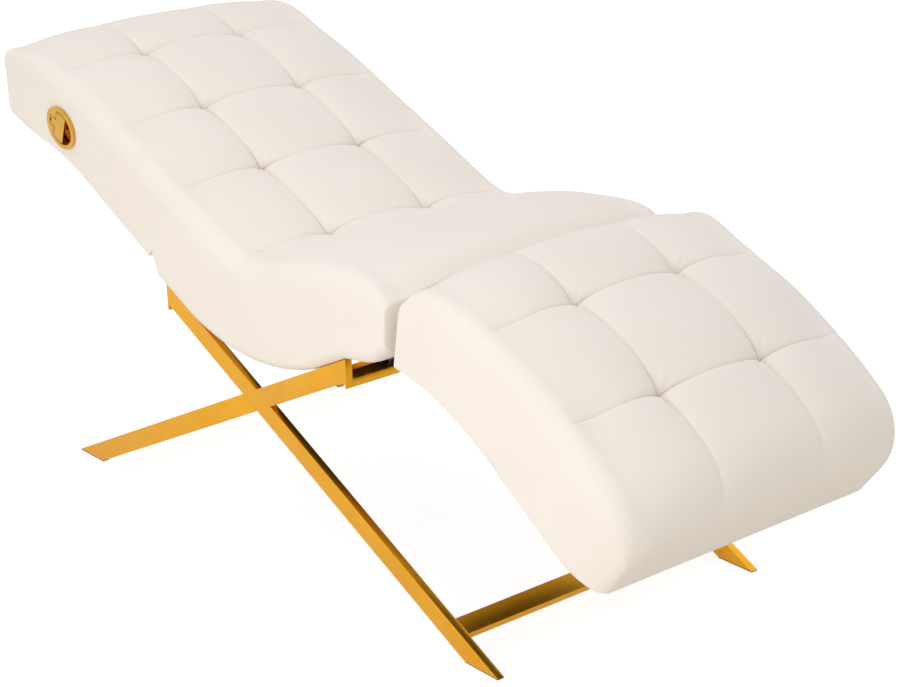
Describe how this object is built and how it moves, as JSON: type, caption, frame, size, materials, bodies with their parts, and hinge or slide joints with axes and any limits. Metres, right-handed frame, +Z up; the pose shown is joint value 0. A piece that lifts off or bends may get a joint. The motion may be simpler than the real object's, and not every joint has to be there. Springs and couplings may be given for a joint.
{
  "type": "eyelash extension bed",
  "caption": "Curved treatment couch on a crossed tube frame, with a tufted lifting backrest, a plain belly-shaped seat, a tilting leg rest and a release handle in the side.",
  "frame": {"origin": "on the floor, below the middle of the bounding box", "axes": "+X towards the foot end along the bed, +Y across it to the left of a person lying on their back, +Z up"},
  "size_m": [1.9188, 0.6824, 0.9011],
  "materials": {
    "velvet": "cream velvet over foam",
    "gold_paint": "satin gold on steel tube",
    "gold_plate": "bright gold on cast metal",
    "plywood": "raw",
    "pine": "raw",
    "black_steel": "black powder coat",
    "zinc_steel": "zinc plated",
    "dust_cloth": "black woven cloth",
    "cable_sheath": "black sheath",
    "rubber": "matte"
  },
  "bodies": {
    "base": {"right_foot_end_leg": "gold_paint", "right_head_end_leg_upper": "gold_paint", "right_head_end_leg_lower": "gold_paint", "left_foot_end_leg": "gold_paint", "left_head_end_leg_upper": "gold_paint", "left_head_end_leg_lower": "gold_paint", "foot_end_floor_crossbar": "gold_paint", "head_end_floor_crossbar": "gold_paint", "foot_end_top_crossbar": "gold_paint", "head_end_top_crossbar": "gold_paint", "right_foot_end_glide": "rubber", "left_foot_end_glide": "rubber", "right_head_end_glide": "rubber", "left_head_end_glide": "rubber", "right_foot_end_seat_bracket": "black_steel", "left_foot_end_seat_bracket": "black_steel", "right_head_end_seat_bracket": "black_steel", "left_head_end_seat_bracket": "black_steel", "right_foot_end_seat_bracket_bolt": "zinc_steel", "left_foot_end_seat_bracket_bolt": "zinc_steel", "right_head_end_seat_bracket_bolt": "zinc_steel", "left_head_end_seat_bracket_bolt": "zinc_steel", "seat_board": "plywood", "seat_right_rail": "pine", "seat_left_rail": "pine", "seat_dust_cover": "dust_cloth", "seat_cushion": "velvet", "right_back_hinge_plate": "black_steel", "left_back_hinge_plate": "black_steel", "right_back_pivot": "zinc_steel", "left_back_pivot": "zinc_steel", "recliner_lock": "black_steel", "right_leg_rest_hinge_plate": "black_steel", "left_leg_rest_hinge_plate": "black_steel", "right_leg_rest_pivot": "zinc_steel", "left_leg_rest_pivot": "zinc_steel"},
    "backrest": {"back_cushion": "velvet", "back_board": "plywood", "back_right_rail": "pine", "back_left_rail": "pine", "back_seat_end_cross_rail": "pine", "back_head_end_cross_rail": "pine", "back_dust_cover": "dust_cloth", "right_back_hinge_arm": "black_steel", "left_back_hinge_arm": "black_steel", "release_handle_cup": "gold_plate", "release_lever_pin": "zinc_steel", "release_lever_spring": "zinc_steel", "release_cable": "cable_sheath"},
    "release_paddle": {"release_lever": "gold_plate"},
    "recliner_cam": {"recliner_cam_lever": "zinc_steel"},
    "leg_rest": {"leg_rest_cushion": "velvet", "leg_rest_board": "plywood", "leg_rest_right_rail": "pine", "leg_rest_left_rail": "pine", "leg_rest_foot_end_cross_rail": "pine", "leg_rest_dust_cover": "dust_cloth", "right_leg_rest_hinge_arm": "black_steel", "left_leg_rest_hinge_arm": "black_steel"}
  },
  "joints": [
    {"name": "back_recline", "type": "hinge", "parent": "base", "child": "backrest", "pos_m": [-0.33311, 0, 0.66007], "axis": [0, 1, 0], "range_deg": [0, 45]},
    {"name": "leg_rest_tilt", "type": "hinge", "parent": "base", "child": "leg_rest", "pos_m": [0.356, 0, 0.527], "axis": [0, -1, 0], "range_deg": [-20, 15]},
    {"name": "release_pull", "type": "hinge", "parent": "backrest", "child": "release_paddle", "pos_m": [-0.76438, -0.34015, 0.75563], "axis": [-0.3617, 0, -0.9323], "range_deg": [0, 30], "stiffness_Nm_per_rad": 0.15, "springref_deg": -11.46},
    {"name": "cam_turn", "type": "hinge", "parent": "backrest", "child": "recliner_cam", "pos_m": [-0.33311, 0, 0.66007], "axis": [0, 1, 0], "range_deg": [0, 15]}
  ],
  "couplings": [
    {"joint": "cam_turn", "follows": "release_pull", "ratio": 0.5}
  ]
}
